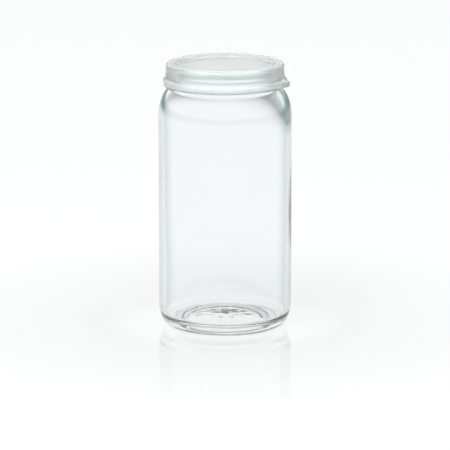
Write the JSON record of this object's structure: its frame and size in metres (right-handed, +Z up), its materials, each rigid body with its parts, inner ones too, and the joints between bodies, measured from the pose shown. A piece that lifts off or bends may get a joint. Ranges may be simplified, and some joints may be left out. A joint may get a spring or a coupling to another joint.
{
  "type": "specimen jar",
  "caption": "Round clear glass jar with a rounded shoulder, closed by a translucent press-on lid with a thumb tab.",
  "frame": {"origin": "middle of the bearing ring that the jar stands on", "axes": "+Z up along the jar's axis; the middle of the lid's thumb tab is 12 degrees from +X towards -Y"},
  "size_m": [0.049, 0.049, 0.098],
  "materials": {
    "jar_glass": "clear moulded glass with a faint green tint",
    "lid_plastic": "milky translucent soft polyethylene, satin"
  },
  "bodies": {
    "jar": {"glass_jar": "jar_glass"},
    "lid": {"snap_lid": "lid_plastic"}
  },
  "joints": [
    {"name": "lid_lift", "type": "slide", "parent": "jar", "child": "lid", "axis": [0, 0, 1], "range_m": [0, 0.04]}
  ]
}
